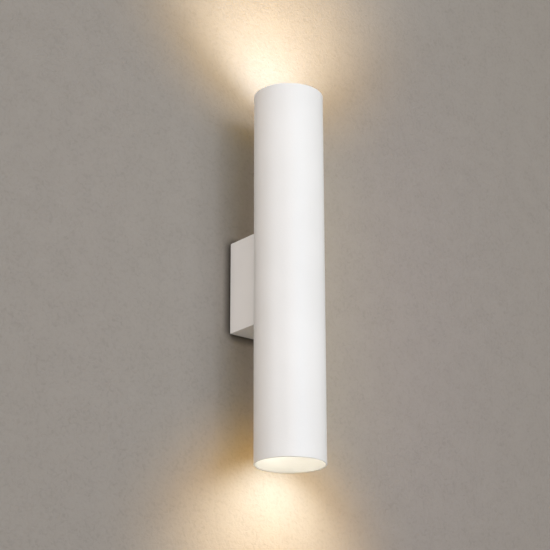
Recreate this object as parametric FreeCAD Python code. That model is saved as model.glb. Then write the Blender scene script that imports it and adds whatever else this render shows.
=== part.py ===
import FreeCAD
import Part
import math
import os

# A wall light that shines up and down: a powder-coated aluminium tube, open at both ends, held off the
# wall by a small box. Millimetres. X runs right along the wall, Y runs into the wall and Z runs up.
# The origin is on the wall, midway between the two wall screws.

# Tube
TUBE_LENGTH = 400.0
TUBE_RADIUS = 36.5
TUBE_WALL = 1.6
TUBE_GAP = 37.0
TUBE_LIP_ROUND = 0.7
TUBE_BORE = TUBE_RADIUS - TUBE_WALL
TUBE_Y = -(TUBE_GAP + TUBE_RADIUS)

# Wall box: a cast cover whose front is hollowed to sit round the tube
BOX_WIDTH = 42.0
BOX_HEIGHT = 100.0
BOX_WALL = 1.8
BOX_WEB = 2.2
BOX_EDGE_RADIUS = 0.8
BOX_OFF_WALL = 1.2
SADDLE_FIT = 0.05
BOX_INNER_X = BOX_WIDTH / 2 - BOX_WALL
BOX_INNER_Z = BOX_HEIGHT / 2 - BOX_WALL
WEB_RADIUS = TUBE_RADIUS + BOX_WEB

# Wall plate
PLATE_THICK = 1.5
PLATE_PLAY = 0.4
PLATE_CORNER = 0.5
PLATE_X = BOX_INNER_X - PLATE_PLAY
PLATE_Z = BOX_INNER_Z - PLATE_PLAY
FLANGE_DEPTH = 12.0
FLANGE_INSET = 2.0
WALL_SCREW_SPACING = 72.0
WALL_SLOT_RADIUS = 2.3
WALL_SLOT_LENGTH = 10.0
CATCH_HALF_WIDTH = 5.5
CATCH_BACK = 4.6
CATCH_FRONT = 7.6
CATCH_HEIGHT = 2.4
CATCH_PLAY = 0.8

# House cable entry in the plate
ENTRY_Z = 18.0
ENTRY_HOLE_RADIUS = 7.0
ENTRY_BORE_RADIUS = 4.25
ENTRY_FLANGE_RADIUS = 9.0
ENTRY_FLANGE = 1.5
ENTRY_FLANGE_ROUND = 0.9

# Screws: thread radius, head radius, head height; the recess and rounding are shares of the head
M3 = (1.5, 2.75, 1.9)
M4 = (2.0, 3.8, 2.6)
CLEARANCE = 0.25
TIP_INSET = 0.1
HEAD_ROUND = 0.35
RECESS_SPAN = 1.1
RECESS_WIDTH = 0.32
RECESS_DEPTH = 0.5
LOCK_SCREW_X = 10.0
LOCK_SCREW_Y = -8.0
LOCK_SCREW_LENGTH = 8.0
LOCK_SINK = M3[1] - M3[0]
LOCK_KEY_RADIUS = 1.15
LOCK_KEY_DEPTH = 0.9
TUBE_SCREW_Z = 30.0
TUBE_SCREW_LENGTH = 14.0
BOSS_RADIUS = 6.0
BOSS_FACE_Y = -33.6
WASHER_THICK = 0.8
WASHER_RADIUS = 4.4

# Carrier: a flat strip up the back of the tube's bore, with an angle bracket at each end
CARRIER_HALF_WIDTH = 13.0
CARRIER_THICK = 1.5
CARRIER_BACK_Y = TUBE_Y + 31.9
CARRIER_FRONT_Y = CARRIER_BACK_Y - CARRIER_THICK
CARRIER_HALF_LENGTH = 94.0
CARRIER_CORNER = 3.0
SPACER_RADIUS = 5.0
NUT_RADIUS = 3.6
NUT_HEIGHT = 3.0
BRACKET_THICK = 1.5
BRACKET_BEND = 1.35
BRACKET_HALF_WIDTH = 11.0
BRACKET_LEG = 22.0
BRACKET_PAD_RADIUS = 20.0
BRACKET_LEAD_HOLE = 6.5
BRACKET_SCREW_X = 6.0
BRACKET_SCREW_DROP = 13.0

# Grommet where the leads pass from the box into the tube
PASS_HOLE_RADIUS = 5.6
PASS_BORE_RADIUS = 4.5
PASS_FLANGE_RADIUS = 8.0
PASS_FLANGE = 1.3
CARRIER_PASS_RADIUS = 9.0

# Lamp and its holder, measured down from the lamp's face
LAMP_RECESS = 40.0
LAMP_HEIGHT = 48.0
LAMP_FACE_Z = TUBE_LENGTH / 2 - LAMP_RECESS
LAMP_BASE_Z = LAMP_FACE_Z - LAMP_HEIGHT
LAMP_RADIUS = 25.0
LAMP_NECK_RADIUS = 13.0
LAMP_NECK_HEIGHT = 15.0
CAP_BREAK = 1.0
CAP_WALL = 2.0
CAP_FLOOR = 3.0
DRIVER_HALF_WIDTH = 8.5
DRIVER_HALF_THICK = 0.8
DRIVER_PLAY = 0.4
DRIVER_ABOVE_NECK = 2.4
LAMP_RIM_HEIGHT = 7.0
LAMP_EDGE = 0.8
SHELL_FOOT_RADIUS = 14.5
SHELL_FOOT_STEP = 1.0
SHELL_THROAT_RADIUS = 9.4
SHELL_THROAT = 3.0
LENS_LEDGE = 3.0
FIN_COUNT = 18
FIN_GROOVE = 1.8
FIN_ROOT_RADIUS = 16.2
FIN_FLOOR_LOW = 12.5
FIN_FLOOR_HIGH = 23.5
FIN_START = 2.5
FIN_END = 1.5
LENS_RADIUS = 22.6
LENS_THICK = 2.4
LENS_RECESS = 0.8
LENS_FIT = 0.05
LENS_DOME_WIDE = 4.8
LENS_DOME_NARROW = 2.2
LENS_DOME_DEPTH = 4.6
LENS_DOME_RING = 11.0
LENS_DOMES = 6
LENS_DOME_START = 15.0
LENS_TO_BOARD = 6.0
LED_BOARD_THICK = 1.6
CHIP_HALF = 1.4
CHIP_HEIGHT = 0.7
PIN_CIRCLE = 5.0
PIN_NECK_RADIUS = 1.5
PIN_HEAD_RADIUS = 2.4
PIN_HEAD_HEIGHT = 2.6
PIN_ROUND = 0.8
PIN_SET_IN = 2.0
LAMP_TWIST = 35.0
LAMP_PLAY = 0.4
HOLDER_HEIGHT = 14.0
HOLDER_RADIUS = 12.0
HOLDER_FACE = 3.5
HOLDER_CHAMBER = 9.0
HOLDER_EAR_X = 15.0
HOLDER_EAR_RADIUS = 4.0
HOLDER_EAR_HEIGHT = 6.0
HOLDER_COVER = 1.4
HOLDER_COVER_FIT = 0.1
HOLDER_SCREW_LENGTH = 9.0
HOLDER_TOP_Z = LAMP_BASE_Z - LAMP_PLAY
HOLDER_BASE_Z = HOLDER_TOP_Z - HOLDER_HEIGHT
SLOT_PLAY = 0.4

# Terminal block on the plate
POLE_PITCH = 8.0
POLE_Y = -10.0
BLOCK_HALF_WIDTH = 11.8
BLOCK_TOP_Z = -15.0
BLOCK_BOTTOM_Z = -30.0
BLOCK_FRONT_Y = -17.0
BLOCK_EAR_X = 17.4
BLOCK_EAR_HALF_HEIGHT = 3.4
BLOCK_EAR_THICK = 2.5
BLOCK_SCREW_X = 14.6
BLOCK_ROUND = 0.6
POLE_GAP_HALF = 0.8
POLE_GAP_DEPTH = 6.5
CLAMP_OUTER = 2.6
CLAMP_BORE = 2.0
CLAMP_INSET = 1.0
POLE_SCREW_RADIUS = 1.2
POLE_SCREW_HEAD = 1.7
POLE_SCREW_HOLE = 1.9
POLE_SCREW_INSET = 3.2
POLE_SCREW_NECK_Y = -14.0
POLE_SCREW_TOP_Y = -15.8
POLE_SLOT_DEPTH = 0.7
POLE_SLOT_HALF = 0.3
LEAD_ENTRY = 4.0

# Leads
LEAD_RADIUS = 0.9
LEAD_BEND = 9.0
BEND_SHARE = 0.45
LEAD_PAIR_X = 1.5
LEAD_PAIR_Z = 1.6
EARTH_PASS_X = 3.4
EARTH_RISE_Y = -50.5
LEAD_OFFSET = 1.0
LEAD_TURN_Y = -33.5
LEAD_RISE_Y = -52.5
LEAD_SWING_START = 62.0
LEAD_SWING_END = 80.0
CONTACT_X = 4.0
CONTACT_THICK = 0.5
CONTACT_HALF_WIDTH = 1.6
CONTACT_PLAY = 0.4
CONTACT_FOOT_X = 2.5
CONTACT_TONGUE_X = 2.2
SLEEVE_LOW = 20.0
SLEEVE_HIGH = 56.0
SLEEVE_BORE = 2.7
SLEEVE_RADIUS = 3.2

# Earth points
EARTH_PLATE_X = 12.5
EARTH_PLATE_Z = 7.0
EARTH_TUBE_X = 7.6
EARTH_TUBE_Z = -26.0
LUG_THICK = 0.8
LUG_RADIUS = 3.6
LUG_BARREL_RADIUS = 1.5
LUG_BARREL_LENGTH = 4.5
LUG_NECK = 2.0
LUG_NECK_HALF_WIDTH = 1.3
LUG_CRIMP = 1.0
EARTH_DROP_Z = -12.0
EARTH_REACH_Z = -6.0
EARTH_LEAN_X = 0.4
EARTH_TURN_X = 2.2
EARTH_TURN_Z = -7.0
EARTH_LAND_Z = -12.5

# Cutting bodies run past what they cut by this much, and edges are found to within CLOSE
OVERCUT = 5.0
CLOSE = 0.01


def vec(x, y, z):
    return FreeCAD.Vector(x, y, z)


def block(x0, x1, y0, y1, z0, z1):
    return Part.makeBox(x1 - x0, y1 - y0, z1 - z0, vec(x0, y0, z0))


def rod(radius, start, end):
    along = end.sub(start)
    return Part.makeCylinder(radius, along.Length, start, along)


def ring(outer, inner, start, end):
    return rod(outer, start, end).cut(rod(inner, start, end))


def upright(radius, z0, z1, x=0.0, y=TUBE_Y):
    return rod(radius, vec(x, y, z0), vec(x, y, z1))


def group(shapes):
    return Part.makeCompound(shapes)


def save(name, shape):
    shape.exportStep("parts/" + name + ".step")
    bad = not shape.isValid()
    print(name, len(shape.Solids), round(shape.Volume, 1), "NOT VALID" if bad else "")


def turned_down(shape):
    # The lower half of the light is the upper half turned half a turn about the Y axis.
    copy = shape.copy()
    copy.rotate(vec(0, 0, 0), vec(0, 1, 0), 180)
    return copy


def save_pair(name, shape):
    save("upper_" + name, shape)
    save("lower_" + name, turned_down(shape))


def screw(size, length, tip, direction):
    # A pan-head screw: the shank runs from its tip back along direction, then the head.
    radius, head_radius, head_height = size
    under_head = tip.add(direction * length)
    top = under_head.add(direction * head_height)
    shank = rod(radius, tip, under_head)
    head = rod(head_radius, under_head, top)
    head = head.makeFillet(head_height * HEAD_ROUND, [top_edge(head, top)])
    span = head_radius * RECESS_SPAN
    width = head_height * RECESS_WIDTH
    cross = Part.makeBox(span, width, head_height)
    cross.translate(vec(-span / 2, -width / 2, -head_height * RECESS_DEPTH))
    other = cross.copy()
    other.rotate(vec(0, 0, 0), vec(0, 0, 1), 90)
    recess = cross.fuse(other)
    recess.Placement = FreeCAD.Placement(top, FreeCAD.Rotation(vec(0, 0, 1), direction))
    return shank.fuse(head).cut(recess).removeSplitter()


def top_edge(shape, point):
    circles = [edge for edge in shape.Edges if hasattr(edge.Curve, "Center")]
    return min(circles, key=lambda edge: edge.Curve.Center.sub(point).Length)


def tube_body():
    half = TUBE_LENGTH / 2
    body = ring(TUBE_RADIUS, TUBE_BORE, vec(0, TUBE_Y, -half), vec(0, TUBE_Y, half))
    rims = [edge for edge in body.Edges if abs(abs(edge.CenterOfMass.z) - half) < CLOSE]
    body = body.makeFillet(TUBE_LIP_ROUND, rims)
    back = TUBE_Y + TUBE_BORE
    for z in (-TUBE_SCREW_Z, TUBE_SCREW_Z):
        body = body.cut(rod(M4[0] + CLEARANCE, vec(0, back - OVERCUT, z), vec(0, back + OVERCUT, z)))
    return body.cut(rod(PASS_HOLE_RADIUS, vec(0, back - OVERCUT, 0), vec(0, back + OVERCUT, 0)))


def wall_box():
    half_x = BOX_WIDTH / 2
    half_z = BOX_HEIGHT / 2
    shell = block(-half_x, half_x, TUBE_Y, -BOX_OFF_WALL, -half_z, half_z)
    long_edges = [edge for edge in shell.Edges if abs(edge.tangentAt(edge.FirstParameter).y) > 0.9]
    shell = shell.makeFillet(BOX_EDGE_RADIUS, long_edges)
    shell = shell.cut(upright(TUBE_RADIUS + SADDLE_FIT, -half_z - OVERCUT, half_z + OVERCUT))
    room = block(-BOX_INNER_X, BOX_INNER_X, TUBE_Y, 0, -BOX_INNER_Z, BOX_INNER_Z)
    room = room.cut(upright(WEB_RADIUS, -half_z, half_z))
    shell = shell.cut(room)
    pad = upright(TUBE_RADIUS + SADDLE_FIT, -half_z, half_z)
    for z in (-TUBE_SCREW_Z, TUBE_SCREW_Z):
        boss = rod(BOSS_RADIUS, vec(0, TUBE_Y + TUBE_BORE, z), vec(0, BOSS_FACE_Y, z)).cut(pad)
        shell = shell.fuse(boss)
        shell = shell.cut(rod(M4[0] + CLEARANCE, vec(0, TUBE_Y, z), vec(0, BOSS_FACE_Y + OVERCUT, z)))
    shell = shell.cut(rod(PASS_HOLE_RADIUS, vec(0, TUBE_Y, 0), vec(0, BOSS_FACE_Y + OVERCUT, 0)))
    for x in (-LOCK_SCREW_X, LOCK_SCREW_X):
        hole = upright(M3[0] + CLEARANCE, BOX_INNER_Z - OVERCUT, half_z + OVERCUT, x, LOCK_SCREW_Y)
        shell = shell.cut(hole).cut(lock_screw_sink(x))
    catch = block(-CATCH_HALF_WIDTH, CATCH_HALF_WIDTH, -CATCH_FRONT, -CATCH_BACK,
                  -BOX_INNER_Z, -BOX_INNER_Z + CATCH_HEIGHT)
    return shell.fuse(catch).removeSplitter()


def lock_screw_sink(x):
    top = BOX_HEIGHT / 2
    return Part.makeCone(M3[0], M3[1], LOCK_SINK, vec(x, LOCK_SCREW_Y, top - LOCK_SINK), vec(0, 0, 1))


def box_lock_screws():
    screws = []
    top = BOX_HEIGHT / 2
    for x in (-LOCK_SCREW_X, LOCK_SCREW_X):
        shank = upright(M3[0], top - LOCK_SCREW_LENGTH, top - LOCK_SINK, x, LOCK_SCREW_Y)
        body = shank.fuse(lock_screw_sink(x))
        hex_key = Part.Face(Part.makePolygon(hexagon(x, LOCK_SCREW_Y, top, LOCK_KEY_RADIUS)))
        screws.append(body.cut(hex_key.extrude(vec(0, 0, -LOCK_KEY_DEPTH))).removeSplitter())
    return group(screws)


def hexagon(x, y, z, radius):
    corners = []
    for step in range(7):
        angle = math.radians(60 * step)
        corners.append(vec(x + radius * math.cos(angle), y + radius * math.sin(angle), z))
    return corners


def wall_plate():
    sheet = block(-PLATE_X, PLATE_X, -PLATE_THICK, 0, -PLATE_Z, PLATE_Z)
    corner_edges = [edge for edge in sheet.Edges if abs(edge.tangentAt(edge.FirstParameter).y) > 0.9]
    sheet = sheet.makeFillet(PLATE_CORNER, corner_edges)
    flange_x = PLATE_X - FLANGE_INSET
    top = block(-flange_x, flange_x, -FLANGE_DEPTH, 0, PLATE_Z - PLATE_THICK, PLATE_Z)
    bottom = block(-flange_x, flange_x, -FLANGE_DEPTH, 0, -PLATE_Z, -PLATE_Z + PLATE_THICK)
    window = block(-CATCH_HALF_WIDTH - CATCH_PLAY, CATCH_HALF_WIDTH + CATCH_PLAY,
                   -CATCH_FRONT - CATCH_PLAY, -CATCH_BACK + CATCH_PLAY,
                   -PLATE_Z - OVERCUT, -PLATE_Z + OVERCUT)
    plate = sheet.fuse(top).fuse(bottom).cut(window)
    for x in (-LOCK_SCREW_X, LOCK_SCREW_X):
        plate = plate.cut(upright(M3[0], PLATE_Z - OVERCUT, PLATE_Z + OVERCUT, x, LOCK_SCREW_Y))
    for z in (-WALL_SCREW_SPACING / 2, WALL_SCREW_SPACING / 2):
        reach = WALL_SLOT_LENGTH / 2 - WALL_SLOT_RADIUS
        slot = block(-WALL_SLOT_RADIUS, WALL_SLOT_RADIUS, -OVERCUT, OVERCUT, z - reach, z + reach)
        for end in (z - reach, z + reach):
            slot = slot.fuse(rod(WALL_SLOT_RADIUS, vec(0, -OVERCUT, end), vec(0, OVERCUT, end)))
        plate = plate.cut(slot)
    plate = plate.cut(rod(ENTRY_HOLE_RADIUS, vec(0, -OVERCUT, ENTRY_Z), vec(0, OVERCUT, ENTRY_Z)))
    for x in (-BLOCK_SCREW_X, BLOCK_SCREW_X):
        plate = plate.cut(rod(M3[0], vec(x, -OVERCUT, block_middle()), vec(x, OVERCUT, block_middle())))
    plate = plate.cut(rod(M4[0], vec(EARTH_PLATE_X, -OVERCUT, EARTH_PLATE_Z),
                          vec(EARTH_PLATE_X, OVERCUT, EARTH_PLATE_Z)))
    return plate.removeSplitter()


def block_middle():
    return (BLOCK_TOP_Z + BLOCK_BOTTOM_Z) / 2


def plate_grommet():
    collar = ring(ENTRY_HOLE_RADIUS, ENTRY_BORE_RADIUS, vec(0, -PLATE_THICK, ENTRY_Z), vec(0, 0, ENTRY_Z))
    flange = ring(ENTRY_FLANGE_RADIUS, ENTRY_BORE_RADIUS,
                  vec(0, -PLATE_THICK - ENTRY_FLANGE, ENTRY_Z), vec(0, -PLATE_THICK, ENTRY_Z))
    front = top_edge_of_radius(flange, ENTRY_FLANGE_RADIUS, -PLATE_THICK - ENTRY_FLANGE)
    flange = flange.makeFillet(ENTRY_FLANGE_ROUND, [front])
    return collar.fuse(flange).removeSplitter()


def top_edge_of_radius(shape, radius, y):
    for edge in shape.Edges:
        round_edge = hasattr(edge.Curve, "Radius") and abs(edge.Curve.Radius - radius) < CLOSE
        if round_edge and abs(edge.CenterOfMass.y - y) < CLOSE:
            return edge
    raise ValueError("no such edge")


def pole_xs():
    return (-POLE_PITCH, 0.0, POLE_PITCH)


def terminal_housing():
    body = block(-BLOCK_HALF_WIDTH, BLOCK_HALF_WIDTH, BLOCK_FRONT_Y, -PLATE_THICK,
                 BLOCK_BOTTOM_Z, BLOCK_TOP_Z)
    for x in (-POLE_PITCH / 2, POLE_PITCH / 2):
        body = body.cut(block(x - POLE_GAP_HALF, x + POLE_GAP_HALF, BLOCK_FRONT_Y - OVERCUT,
                              BLOCK_FRONT_Y + POLE_GAP_DEPTH,
                              BLOCK_BOTTOM_Z - OVERCUT, BLOCK_TOP_Z + OVERCUT))
    front_edges = [edge for edge in body.Edges
                   if abs(edge.tangentAt(edge.FirstParameter).z) > 0.9
                   and edge.CenterOfMass.y < BLOCK_FRONT_Y + CLOSE]
    body = body.makeFillet(BLOCK_ROUND, front_edges)
    middle = block_middle()
    ears = block(-BLOCK_EAR_X, BLOCK_EAR_X, -PLATE_THICK - BLOCK_EAR_THICK, -PLATE_THICK,
                 middle - BLOCK_EAR_HALF_HEIGHT, middle + BLOCK_EAR_HALF_HEIGHT)
    body = body.fuse(ears)
    for x in (-BLOCK_SCREW_X, BLOCK_SCREW_X):
        body = body.cut(rod(M3[0] + CLEARANCE, vec(x, -OVERCUT, middle), vec(x, 0, middle)))
    for x in pole_xs():
        body = body.cut(upright(CLAMP_OUTER, BLOCK_BOTTOM_Z - OVERCUT, BLOCK_TOP_Z + OVERCUT, x, POLE_Y))
        for z in pole_screw_zs():
            body = body.cut(rod(POLE_SCREW_HOLE, vec(x, BLOCK_FRONT_Y - OVERCUT, z), vec(x, POLE_Y, z)))
    return body.removeSplitter()


def pole_screw_zs():
    return (BLOCK_BOTTOM_Z + POLE_SCREW_INSET, BLOCK_TOP_Z - POLE_SCREW_INSET)


def terminal_clamps():
    clamps = []
    for x in pole_xs():
        low = vec(x, POLE_Y, BLOCK_BOTTOM_Z + CLAMP_INSET)
        high = vec(x, POLE_Y, BLOCK_TOP_Z - CLAMP_INSET)
        clamp = ring(CLAMP_OUTER, CLAMP_BORE, low, high)
        for z in pole_screw_zs():
            clamp = clamp.cut(rod(POLE_SCREW_RADIUS, vec(x, POLE_Y - OVERCUT, z), vec(x, POLE_Y, z)))
        clamps.append(clamp)
    return group(clamps)


def terminal_screws():
    screws = []
    tip_y = POLE_Y - LEAD_RADIUS - TIP_INSET
    for x in pole_xs():
        for z in pole_screw_zs():
            shank = rod(POLE_SCREW_RADIUS, vec(x, tip_y, z), vec(x, POLE_SCREW_NECK_Y, z))
            head = rod(POLE_SCREW_HEAD, vec(x, POLE_SCREW_NECK_Y, z), vec(x, POLE_SCREW_TOP_Y, z))
            drive = block(x - POLE_SCREW_HEAD, x + POLE_SCREW_HEAD, POLE_SCREW_TOP_Y - OVERCUT,
                          POLE_SCREW_TOP_Y + POLE_SLOT_DEPTH, z - POLE_SLOT_HALF, z + POLE_SLOT_HALF)
            screws.append(shank.fuse(head).cut(drive).removeSplitter())
    return group(screws)


def terminal_fixing_screws():
    length = PLATE_THICK + BLOCK_EAR_THICK - TIP_INSET
    screws = []
    for x in (-BLOCK_SCREW_X, BLOCK_SCREW_X):
        screws.append(screw(M3, length, vec(x, -TIP_INSET, block_middle()), vec(0, -1, 0)))
    return group(screws)


def lug(x, y_back, z, barrel_up):
    # A crimped ring lug lying flat on a plate, with its barrel pointing up or down.
    flat = rod(LUG_RADIUS, vec(x, y_back, z), vec(x, y_back - LUG_THICK, z))
    way = 1 if barrel_up else -1
    end = z + way * (LUG_RADIUS + LUG_NECK)
    neck = block(x - LUG_NECK_HALF_WIDTH, x + LUG_NECK_HALF_WIDTH, y_back - LUG_THICK, y_back,
                 min(z, end), max(z, end))
    barrel_y = y_back - LUG_BARREL_RADIUS
    far = end + way * LUG_BARREL_LENGTH
    barrel = rod(LUG_BARREL_RADIUS, vec(x, barrel_y, end), vec(x, barrel_y, far))
    bore = rod(LEAD_RADIUS, vec(x, barrel_y, end + way * LUG_CRIMP), vec(x, barrel_y, far + way * OVERCUT))
    body = flat.fuse(neck).fuse(barrel).cut(bore)
    hole = rod(M4[0], vec(x, y_back + OVERCUT, z), vec(x, y_back - OVERCUT, z))
    return body.cut(hole).removeSplitter()


def plate_earth_lug():
    return lug(EARTH_PLATE_X, -PLATE_THICK, EARTH_PLATE_Z, False)


def plate_earth_screw():
    length = PLATE_THICK + LUG_THICK - TIP_INSET
    return screw(M4, length, vec(EARTH_PLATE_X, -TIP_INSET, EARTH_PLATE_Z), vec(0, -1, 0))


def tube_earth_lug():
    return lug(EARTH_TUBE_X, CARRIER_FRONT_Y, EARTH_TUBE_Z, True)


def tube_earth_screw():
    tip = vec(EARTH_TUBE_X, CARRIER_BACK_Y - TIP_INSET, EARTH_TUBE_Z)
    return screw(M4, CARRIER_THICK + LUG_THICK - TIP_INSET, tip, vec(0, -1, 0))


def tube_grommet():
    # A rubber bush through the box's web and the tube's wall; its flanges follow both curves.
    inner_y = TUBE_Y + TUBE_BORE
    outer_y = TUBE_Y + WEB_RADIUS
    reach = PASS_FLANGE_RADIUS + OVERCUT
    collar = rod(PASS_HOLE_RADIUS, vec(0, inner_y - PASS_FLANGE, 0), vec(0, outer_y + PASS_FLANGE, 0))
    disc_in = rod(PASS_FLANGE_RADIUS, vec(0, inner_y - PASS_FLANGE, 0), vec(0, inner_y + OVERCUT, 0))
    disc_in = disc_in.common(upright(TUBE_BORE, -reach, reach))
    disc_out = rod(PASS_FLANGE_RADIUS, vec(0, outer_y - OVERCUT, 0), vec(0, outer_y + PASS_FLANGE, 0))
    disc_out = disc_out.cut(upright(WEB_RADIUS, -reach, reach))
    bush = collar.fuse(disc_in).fuse(disc_out)
    bore = rod(PASS_BORE_RADIUS, vec(0, inner_y - OVERCUT, 0), vec(0, outer_y + OVERCUT, 0))
    return bush.cut(bore).removeSplitter()


def tube_fixing_washers():
    washers = []
    for z in (-TUBE_SCREW_Z, TUBE_SCREW_Z):
        washers.append(ring(WASHER_RADIUS, M4[0] + CLEARANCE, vec(0, BOSS_FACE_Y, z),
                            vec(0, BOSS_FACE_Y + WASHER_THICK, z)))
    return group(washers)


def tube_fixing_screws():
    head_y = BOSS_FACE_Y + WASHER_THICK
    screws = []
    for z in (-TUBE_SCREW_Z, TUBE_SCREW_Z):
        screws.append(screw(M4, TUBE_SCREW_LENGTH, vec(0, head_y - TUBE_SCREW_LENGTH, z), vec(0, 1, 0)))
    return group(screws)


def carrier_spacers():
    spacers = []
    reach = TUBE_SCREW_Z + SPACER_RADIUS + OVERCUT
    bore = upright(TUBE_BORE - SADDLE_FIT, -reach, reach)
    tube_back = TUBE_Y + TUBE_RADIUS
    for z in (-TUBE_SCREW_Z, TUBE_SCREW_Z):
        spacer = ring(SPACER_RADIUS, M4[0] + CLEARANCE, vec(0, CARRIER_BACK_Y, z), vec(0, tube_back, z))
        spacers.append(spacer.common(bore))
    return group(spacers)


def carrier_strip():
    strip = block(-CARRIER_HALF_WIDTH, CARRIER_HALF_WIDTH, CARRIER_FRONT_Y, CARRIER_BACK_Y,
                  -CARRIER_HALF_LENGTH, CARRIER_HALF_LENGTH)
    corners = [edge for edge in strip.Edges if abs(edge.tangentAt(edge.FirstParameter).y) > 0.9]
    strip = strip.makeFillet(CARRIER_CORNER, corners)
    near = CARRIER_FRONT_Y - OVERCUT
    far = CARRIER_BACK_Y + OVERCUT
    for z in (-TUBE_SCREW_Z, TUBE_SCREW_Z):
        strip = strip.cut(rod(M4[0] + CLEARANCE, vec(0, near, z), vec(0, far, z)))
    strip = strip.cut(rod(CARRIER_PASS_RADIUS, vec(0, near, 0), vec(0, far, 0)))
    earth_hole = rod(M4[0], vec(EARTH_TUBE_X, near, EARTH_TUBE_Z), vec(EARTH_TUBE_X, far, EARTH_TUBE_Z))
    strip = strip.cut(earth_hole)
    for z in (-bracket_screw_z(), bracket_screw_z()):
        for x in (-BRACKET_SCREW_X, BRACKET_SCREW_X):
            strip = strip.cut(rod(M3[0], vec(x, near, z), vec(x, far, z)))
    return strip


def bracket_screw_z():
    return HOLDER_BASE_Z - BRACKET_SCREW_DROP


def carrier_nuts():
    nuts = []
    for z in (-TUBE_SCREW_Z, TUBE_SCREW_Z):
        flat = Part.Face(Part.makePolygon(hexagon(0, 0, 0, NUT_RADIUS / math.cos(math.radians(30)))))
        nut = flat.extrude(vec(0, 0, NUT_HEIGHT))
        nut = nut.cut(rod(M4[0], vec(0, 0, -OVERCUT), vec(0, 0, NUT_HEIGHT + OVERCUT)))
        nut.Placement = FreeCAD.Placement(vec(0, CARRIER_FRONT_Y, z), FreeCAD.Rotation(vec(1, 0, 0), 90))
        nuts.append(nut)
    return group(nuts)


def holder_bracket():
    top = HOLDER_BASE_Z
    under = top - BRACKET_THICK
    arm_back = CARRIER_FRONT_Y
    arm = block(-BRACKET_HALF_WIDTH, BRACKET_HALF_WIDTH, TUBE_Y, arm_back, under, top)
    arm = arm.fuse(upright(BRACKET_PAD_RADIUS, under, top))
    leg = block(-BRACKET_HALF_WIDTH, BRACKET_HALF_WIDTH, arm_back - BRACKET_THICK, arm_back,
                top - BRACKET_LEG, top)
    body = arm.fuse(leg)
    outer = [edge for edge in body.Edges if abs(edge.tangentAt(edge.FirstParameter).x) > 0.9
             and abs(edge.CenterOfMass.y - arm_back) < CLOSE and abs(edge.CenterOfMass.z - top) < CLOSE]
    body = body.makeFillet(BRACKET_BEND, outer)
    body = body.cut(upright(BRACKET_LEAD_HOLE, under - OVERCUT, top + OVERCUT))
    for x in (-HOLDER_EAR_X, HOLDER_EAR_X):
        body = body.cut(upright(M3[0], under - OVERCUT, top + OVERCUT, x))
    z = bracket_screw_z()
    for x in (-BRACKET_SCREW_X, BRACKET_SCREW_X):
        hole = rod(M3[0] + CLEARANCE, vec(x, arm_back - OVERCUT, z), vec(x, arm_back + OVERCUT, z))
        body = body.cut(hole)
    return body.removeSplitter()


def bracket_screws():
    screws = []
    for x in (-BRACKET_SCREW_X, BRACKET_SCREW_X):
        tip = vec(x, CARRIER_BACK_Y - TIP_INSET, bracket_screw_z())
        screws.append(screw(M3, CARRIER_THICK + BRACKET_THICK - TIP_INSET, tip, vec(0, -1, 0)))
    return group(screws)


def keyhole(angle_start, half_turn):
    # One pin's slot in the holder's face: an arc as wide as the pin's neck, ending in a round mouth
    # that lets the pin's head through. half_turn is 0 or 180.
    z0 = HOLDER_TOP_Z - HOLDER_FACE - OVERCUT
    z1 = HOLDER_TOP_Z + OVERCUT
    inner = PIN_CIRCLE - PIN_NECK_RADIUS - SLOT_PLAY
    outer = PIN_CIRCLE + PIN_NECK_RADIUS + SLOT_PLAY
    sweep = Part.makeCylinder(outer, z1 - z0, vec(0, TUBE_Y, z0), vec(0, 0, 1), LAMP_TWIST)
    slot = sweep.cut(upright(inner, z0 - OVERCUT, z1 + OVERCUT))
    slot.rotate(vec(0, TUBE_Y, 0), vec(0, 0, 1), angle_start + half_turn)
    mouth = PIN_HEAD_RADIUS + SLOT_PLAY
    for angle, radius in ((angle_start, PIN_NECK_RADIUS + SLOT_PLAY), (angle_start + LAMP_TWIST, mouth)):
        turn = math.radians(angle + half_turn)
        x = PIN_CIRCLE * math.cos(turn)
        y = TUBE_Y + PIN_CIRCLE * math.sin(turn)
        slot = slot.fuse(upright(radius, z0, z1, x, y))
    return slot


def lampholder():
    body = upright(HOLDER_RADIUS, HOLDER_BASE_Z, HOLDER_TOP_Z)
    ear_top = HOLDER_BASE_Z + HOLDER_EAR_HEIGHT
    bar = block(-HOLDER_EAR_X, HOLDER_EAR_X, TUBE_Y - HOLDER_EAR_RADIUS, TUBE_Y + HOLDER_EAR_RADIUS,
                HOLDER_BASE_Z, ear_top)
    body = body.fuse(bar)
    for x in (-HOLDER_EAR_X, HOLDER_EAR_X):
        body = body.fuse(upright(HOLDER_EAR_RADIUS, HOLDER_BASE_Z, ear_top, x))
    body = body.cut(upright(HOLDER_CHAMBER, HOLDER_BASE_Z - OVERCUT, HOLDER_TOP_Z - HOLDER_FACE))
    for x in (-HOLDER_EAR_X, HOLDER_EAR_X):
        body = body.cut(upright(M3[0] + CLEARANCE, HOLDER_BASE_Z - OVERCUT, ear_top + OVERCUT, x))
    for half_turn in (0, 180):
        body = body.cut(keyhole(0, half_turn))
    return body.removeSplitter()


def lampholder_cover():
    disc = upright(HOLDER_CHAMBER - HOLDER_COVER_FIT, HOLDER_BASE_Z, HOLDER_BASE_Z + HOLDER_COVER)
    for x in (-CONTACT_X, CONTACT_X):
        disc = disc.cut(upright(LEAD_RADIUS + CLEARANCE, HOLDER_BASE_Z - OVERCUT,
                                HOLDER_BASE_Z + OVERCUT, x))
    return disc


def pin_foot_z():
    return HOLDER_TOP_Z - HOLDER_FACE - LAMP_PLAY - PIN_HEAD_HEIGHT


def lead_end_z():
    return HOLDER_BASE_Z + HOLDER_COVER + CONTACT_PLAY


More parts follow.
